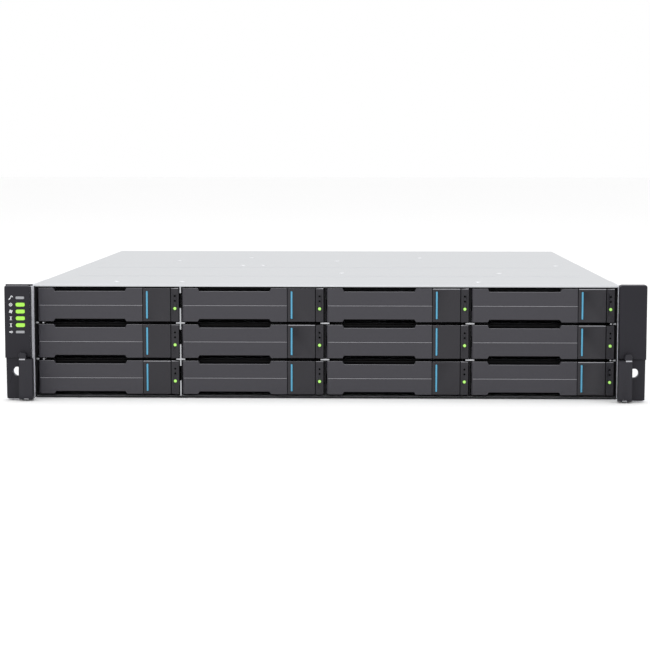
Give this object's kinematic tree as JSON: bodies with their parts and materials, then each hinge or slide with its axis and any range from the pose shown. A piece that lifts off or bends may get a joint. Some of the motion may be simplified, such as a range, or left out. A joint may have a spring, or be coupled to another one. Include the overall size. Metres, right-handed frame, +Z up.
{
  "type": "network attached storage",
  "caption": "Two-unit rack storage enclosure with front hot-swap drive carriers, rack ears with fold-down handles, and plug-in controllers and power supplies at the rear.",
  "frame": {"origin": "middle of the overall footprint, on the plane that the chassis floor rests on", "axes": "+X to the right seen from the front, +Y from the front towards the rear, +Z up"},
  "size_m": [0.4826, 0.5336, 0.0881],
  "materials": {
    "galvanised_steel": "satin",
    "cover_steel": "satin",
    "bright_steel": "polished",
    "board_green": "satin",
    "black_plastic": "matte",
    "dark_plastic": "matte",
    "lamp_green": "lit",
    "key_grey": "satin",
    "carrier_black": "matte",
    "flap_grey": "satin",
    "button_grey": "satin",
    "handle_plastic": "satin",
    "lever_blue": "satin"
  },
  "bodies": {
    "enclosure": {"chassis_base": "galvanised_steel", "top_cover": "cover_steel", "cover_screws": "bright_steel", "drive_cage": "galvanised_steel", "midplane_board": "board_green", "drive_connectors": "black_plastic", "module_partitions": "galvanised_steel", "ear_brackets": "galvanised_steel", "left_ear_cover": "dark_plastic", "right_ear_cover": "dark_plastic", "indicator_bars": "lamp_green"},
    "carrier_r1c1": {"drive_carrier_r1c1": "carrier_black"},
    "flap_r1c1": {"carrier_flap_r1c1": "flap_grey"},
    "button_r1c1": {"release_button_r1c1": "button_grey"},
    "carrier_r1c2": {"drive_carrier_r1c2": "carrier_black"},
    "flap_r1c2": {"carrier_flap_r1c2": "flap_grey"},
    "button_r1c2": {"release_button_r1c2": "button_grey"},
    "carrier_r1c3": {"drive_carrier_r1c3": "carrier_black"},
    "flap_r1c3": {"carrier_flap_r1c3": "flap_grey"},
    "button_r1c3": {"release_button_r1c3": "button_grey"},
    "carrier_r1c4": {"drive_carrier_r1c4": "carrier_black"},
    "flap_r1c4": {"carrier_flap_r1c4": "flap_grey"},
    "button_r1c4": {"release_button_r1c4": "button_grey"},
    "carrier_r2c1": {"drive_carrier_r2c1": "carrier_black"},
    "flap_r2c1": {"carrier_flap_r2c1": "flap_grey"},
    "button_r2c1": {"release_button_r2c1": "button_grey"},
    "carrier_r2c2": {"drive_carrier_r2c2": "carrier_black"},
    "flap_r2c2": {"carrier_flap_r2c2": "flap_grey"},
    "button_r2c2": {"release_button_r2c2": "button_grey"},
    "carrier_r2c3": {"drive_carrier_r2c3": "carrier_black"},
    "flap_r2c3": {"carrier_flap_r2c3": "flap_grey"},
    "button_r2c3": {"release_button_r2c3": "button_grey"},
    "carrier_r2c4": {"drive_carrier_r2c4": "carrier_black"},
    "flap_r2c4": {"carrier_flap_r2c4": "flap_grey"},
    "button_r2c4": {"release_button_r2c4": "button_grey"},
    "carrier_r3c1": {"drive_carrier_r3c1": "carrier_black"},
    "flap_r3c1": {"carrier_flap_r3c1": "flap_grey"},
    "button_r3c1": {"release_button_r3c1": "button_grey"},
    "carrier_r3c2": {"drive_carrier_r3c2": "carrier_black"},
    "flap_r3c2": {"carrier_flap_r3c2": "flap_grey"},
    "button_r3c2": {"release_button_r3c2": "button_grey"},
    "carrier_r3c3": {"drive_carrier_r3c3": "carrier_black"},
    "flap_r3c3": {"carrier_flap_r3c3": "flap_grey"},
    "button_r3c3": {"release_button_r3c3": "button_grey"},
    "carrier_r3c4": {"drive_carrier_r3c4": "carrier_black"},
    "flap_r3c4": {"carrier_flap_r3c4": "flap_grey"},
    "button_r3c4": {"release_button_r3c4": "button_grey"},
    "left_handle": {"left_ear_handle": "handle_plastic"},
    "right_handle": {"right_ear_handle": "handle_plastic"},
    "mute_key": {"mute_button": "key_grey"},
    "upper_controller": {"controller_upper": "galvanised_steel"},
    "upper_lever": {"controller_lever_upper": "lever_blue"},
    "lower_controller": {"controller_lower": "galvanised_steel"},
    "lower_lever": {"controller_lever_lower": "lever_blue"},
    "left_supply": {"power_supply_left": "galvanised_steel"},
    "left_latch": {"supply_latch_left": "lever_blue"},
    "left_fan": {"fan_rotor_left": "black_plastic"},
    "right_supply": {"power_supply_right": "galvanised_steel"},
    "right_latch": {"supply_latch_right": "lever_blue"},
    "right_fan": {"fan_rotor_right": "black_plastic"}
  },
  "joints": [
    {"name": "carrier_slide_r1c1", "type": "slide", "parent": "enclosure", "child": "carrier_r1c1", "axis": [0, -1, 0], "range_m": [0, 0.2]},
    {"name": "flap_hinge_r1c1", "type": "hinge", "parent": "carrier_r1c1", "child": "flap_r1c1", "pos_m": [-0.2165, -0.24245, 0.071], "axis": [0, 0, -1], "range_deg": [0, 60]},
    {"name": "button_press_r1c1", "type": "slide", "parent": "carrier_r1c1", "child": "button_r1c1", "axis": [0, 1, 0], "range_m": [0, 0.0025], "stiffness_N_per_m": 400},
    {"name": "carrier_slide_r1c2", "type": "slide", "parent": "enclosure", "child": "carrier_r1c2", "axis": [0, -1, 0], "range_m": [0, 0.2]},
    {"name": "flap_hinge_r1c2", "type": "hinge", "parent": "carrier_r1c2", "child": "flap_r1c2", "pos_m": [-0.1063, -0.24245, 0.071], "axis": [0, 0, -1], "range_deg": [0, 60]},
    {"name": "button_press_r1c2", "type": "slide", "parent": "carrier_r1c2", "child": "button_r1c2", "axis": [0, 1, 0], "range_m": [0, 0.0025], "stiffness_N_per_m": 400},
    {"name": "carrier_slide_r1c3", "type": "slide", "parent": "enclosure", "child": "carrier_r1c3", "axis": [0, -1, 0], "range_m": [0, 0.2]},
    {"name": "flap_hinge_r1c3", "type": "hinge", "parent": "carrier_r1c3", "child": "flap_r1c3", "pos_m": [0.0039, -0.24245, 0.071], "axis": [0, 0, -1], "range_deg": [0, 60]},
    {"name": "button_press_r1c3", "type": "slide", "parent": "carrier_r1c3", "child": "button_r1c3", "axis": [0, 1, 0], "range_m": [0, 0.0025], "stiffness_N_per_m": 400},
    {"name": "carrier_slide_r1c4", "type": "slide", "parent": "enclosure", "child": "carrier_r1c4", "axis": [0, -1, 0], "range_m": [0, 0.2]},
    {"name": "flap_hinge_r1c4", "type": "hinge", "parent": "carrier_r1c4", "child": "flap_r1c4", "pos_m": [0.1141, -0.24245, 0.071], "axis": [0, 0, -1], "range_deg": [0, 60]},
    {"name": "button_press_r1c4", "type": "slide", "parent": "carrier_r1c4", "child": "button_r1c4", "axis": [0, 1, 0], "range_m": [0, 0.0025], "stiffness_N_per_m": 400},
    {"name": "carrier_slide_r2c1", "type": "slide", "parent": "enclosure", "child": "carrier_r2c1", "axis": [0, -1, 0], "range_m": [0, 0.2]},
    {"name": "flap_hinge_r2c1", "type": "hinge", "parent": "carrier_r2c1", "child": "flap_r2c1", "pos_m": [-0.2165, -0.24245, 0.0432], "axis": [0, 0, -1], "range_deg": [0, 60]},
    {"name": "button_press_r2c1", "type": "slide", "parent": "carrier_r2c1", "child": "button_r2c1", "axis": [0, 1, 0], "range_m": [0, 0.0025], "stiffness_N_per_m": 400},
    {"name": "carrier_slide_r2c2", "type": "slide", "parent": "enclosure", "child": "carrier_r2c2", "axis": [0, -1, 0], "range_m": [0, 0.2]},
    {"name": "flap_hinge_r2c2", "type": "hinge", "parent": "carrier_r2c2", "child": "flap_r2c2", "pos_m": [-0.1063, -0.24245, 0.0432], "axis": [0, 0, -1], "range_deg": [0, 60]},
    {"name": "button_press_r2c2", "type": "slide", "parent": "carrier_r2c2", "child": "button_r2c2", "axis": [0, 1, 0], "range_m": [0, 0.0025], "stiffness_N_per_m": 400},
    {"name": "carrier_slide_r2c3", "type": "slide", "parent": "enclosure", "child": "carrier_r2c3", "axis": [0, -1, 0], "range_m": [0, 0.2]},
    {"name": "flap_hinge_r2c3", "type": "hinge", "parent": "carrier_r2c3", "child": "flap_r2c3", "pos_m": [0.0039, -0.24245, 0.0432], "axis": [0, 0, -1], "range_deg": [0, 60]},
    {"name": "button_press_r2c3", "type": "slide", "parent": "carrier_r2c3", "child": "button_r2c3", "axis": [0, 1, 0], "range_m": [0, 0.0025], "stiffness_N_per_m": 400},
    {"name": "carrier_slide_r2c4", "type": "slide", "parent": "enclosure", "child": "carrier_r2c4", "axis": [0, -1, 0], "range_m": [0, 0.2]},
    {"name": "flap_hinge_r2c4", "type": "hinge", "parent": "carrier_r2c4", "child": "flap_r2c4", "pos_m": [0.1141, -0.24245, 0.0432], "axis": [0, 0, -1], "range_deg": [0, 60]},
    {"name": "button_press_r2c4", "type": "slide", "parent": "carrier_r2c4", "child": "button_r2c4", "axis": [0, 1, 0], "range_m": [0, 0.0025], "stiffness_N_per_m": 400},
    {"name": "carrier_slide_r3c1", "type": "slide", "parent": "enclosure", "child": "carrier_r3c1", "axis": [0, -1, 0], "range_m": [0, 0.2]},
    {"name": "flap_hinge_r3c1", "type": "hinge", "parent": "carrier_r3c1", "child": "flap_r3c1", "pos_m": [-0.2165, -0.24245, 0.0154], "axis": [0, 0, -1], "range_deg": [0, 60]},
    {"name": "button_press_r3c1", "type": "slide", "parent": "carrier_r3c1", "child": "button_r3c1", "axis": [0, 1, 0], "range_m": [0, 0.0025], "stiffness_N_per_m": 400},
    {"name": "carrier_slide_r3c2", "type": "slide", "parent": "enclosure", "child": "carrier_r3c2", "axis": [0, -1, 0], "range_m": [0, 0.2]},
    {"name": "flap_hinge_r3c2", "type": "hinge", "parent": "carrier_r3c2", "child": "flap_r3c2", "pos_m": [-0.1063, -0.24245, 0.0154], "axis": [0, 0, -1], "range_deg": [0, 60]},
    {"name": "button_press_r3c2", "type": "slide", "parent": "carrier_r3c2", "child": "button_r3c2", "axis": [0, 1, 0], "range_m": [0, 0.0025], "stiffness_N_per_m": 400},
    {"name": "carrier_slide_r3c3", "type": "slide", "parent": "enclosure", "child": "carrier_r3c3", "axis": [0, -1, 0], "range_m": [0, 0.2]},
    {"name": "flap_hinge_r3c3", "type": "hinge", "parent": "carrier_r3c3", "child": "flap_r3c3", "pos_m": [0.0039, -0.24245, 0.0154], "axis": [0, 0, -1], "range_deg": [0, 60]},
    {"name": "button_press_r3c3", "type": "slide", "parent": "carrier_r3c3", "child": "button_r3c3", "axis": [0, 1, 0], "range_m": [0, 0.0025], "stiffness_N_per_m": 400},
    {"name": "carrier_slide_r3c4", "type": "slide", "parent": "enclosure", "child": "carrier_r3c4", "axis": [0, -1, 0], "range_m": [0, 0.2]},
    {"name": "flap_hinge_r3c4", "type": "hinge", "parent": "carrier_r3c4", "child": "flap_r3c4", "pos_m": [0.1141, -0.24245, 0.0154], "axis": [0, 0, -1], "range_deg": [0, 60]},
    {"name": "button_press_r3c4", "type": "slide", "parent": "carrier_r3c4", "child": "button_r3c4", "axis": [0, 1, 0], "range_m": [0, 0.0025], "stiffness_N_per_m": 400},
    {"name": "left_handle_fold", "type": "hinge", "parent": "enclosure", "child": "left_handle", "pos_m": [-0.22505, -0.2635, 0.00375], "axis": [1, 0, 0], "range_deg": [0, 90]},
    {"name": "right_handle_fold", "type": "hinge", "parent": "enclosure", "child": "right_handle", "pos_m": [0.22505, -0.2635, 0.00375], "axis": [1, 0, 0], "range_deg": [0, 90]},
    {"name": "mute_button_press", "type": "slide", "parent": "enclosure", "child": "mute_key", "axis": [0, 1, 0], "range_m": [0, 0.0008], "stiffness_N_per_m": 300},
    {"name": "upper_controller_slide", "type": "slide", "parent": "enclosure", "child": "upper_controller", "axis": [0, 1, 0], "range_m": [0, 0.3]},
    {"name": "upper_lever_swing", "type": "hinge", "parent": "upper_controller", "child": "upper_lever", "pos_m": [-0.1259, 0.24425, 0.0778], "axis": [0, 0, 1], "range_deg": [0, 80]},
    {"name": "lower_controller_slide", "type": "slide", "parent": "enclosure", "child": "lower_controller", "axis": [0, 1, 0], "range_m": [0, 0.3]},
    {"name": "lower_lever_swing", "type": "hinge", "parent": "lower_controller", "child": "lower_lever", "pos_m": [-0.1259, 0.24425, 0.0353], "axis": [0, 0, 1], "range_deg": [0, 80]},
    {"name": "left_supply_slide", "type": "slide", "parent": "enclosure", "child": "left_supply", "axis": [0, 1, 0], "range_m": [0, 0.3]},
    {"name": "left_latch_press", "type": "hinge", "parent": "left_supply", "child": "left_latch", "pos_m": [-0.2143, 0.24375, 0.0377], "axis": [0, 0, -1], "range_deg": [0, 15], "stiffness_Nm_per_rad": 0.05},
    {"name": "left_fan_spin", "type": "hinge", "parent": "left_supply", "child": "left_fan", "pos_m": [-0.1776, 0.22475, 0.0527], "axis": [0, 1, 0], "continuous": true},
    {"name": "right_supply_slide", "type": "slide", "parent": "enclosure", "child": "right_supply", "axis": [0, 1, 0], "range_m": [0, 0.3]},
    {"name": "right_latch_press", "type": "hinge", "parent": "right_supply", "child": "right_latch", "pos_m": [0.1409, 0.24375, 0.0377], "axis": [0, 0, -1], "range_deg": [0, 15], "stiffness_Nm_per_rad": 0.05},
    {"name": "right_fan_spin", "type": "hinge", "parent": "right_supply", "child": "right_fan", "pos_m": [0.1776, 0.22475, 0.0527], "axis": [0, 1, 0], "continuous": true}
  ]
}
